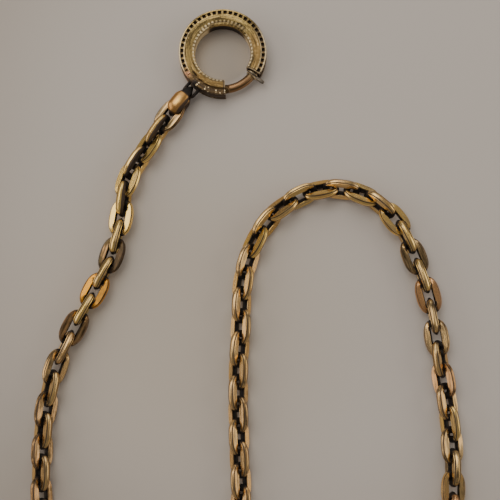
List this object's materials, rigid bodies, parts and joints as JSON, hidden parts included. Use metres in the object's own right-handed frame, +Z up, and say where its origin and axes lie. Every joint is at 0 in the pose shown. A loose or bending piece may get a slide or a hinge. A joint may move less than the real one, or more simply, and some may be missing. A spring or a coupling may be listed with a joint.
{
  "type": "watch chain",
  "caption": "Pocket watch chain of filed oval trace links, with a milled bolt ring for the watch and a plain bar for the buttonhole, lying in two bights.",
  "frame": {"origin": "on the table, below the middle of the chain as it lies", "axes": "+Z up from the table, +Y from the bar's end towards the bolt ring"},
  "size_m": [0.084, 0.1046, 0.0043],
  "materials": {
    "case_gold": "worn, turned and milled",
    "bolt_metal": "coppery, tarnished",
    "chain_gold": "polished flat faces, tarnished between",
    "bar_gold": "polished"
  },
  "bodies": {
    "chain": {"ring_case": "case_gold", "chain_ring_side": "chain_gold", "chain_bar_side": "chain_gold", "t_bar": "bar_gold"},
    "bolt": {"ring_bolt": "bolt_metal"}
  },
  "joints": [
    {"name": "bolt_slide", "type": "hinge", "parent": "chain", "child": "bolt", "pos_m": [-0.0093, 0.0446, 0.00175], "axis": [0, 0, 1], "range_deg": [0, 60], "stiffness_Nm_per_rad": 0.01}
  ]
}
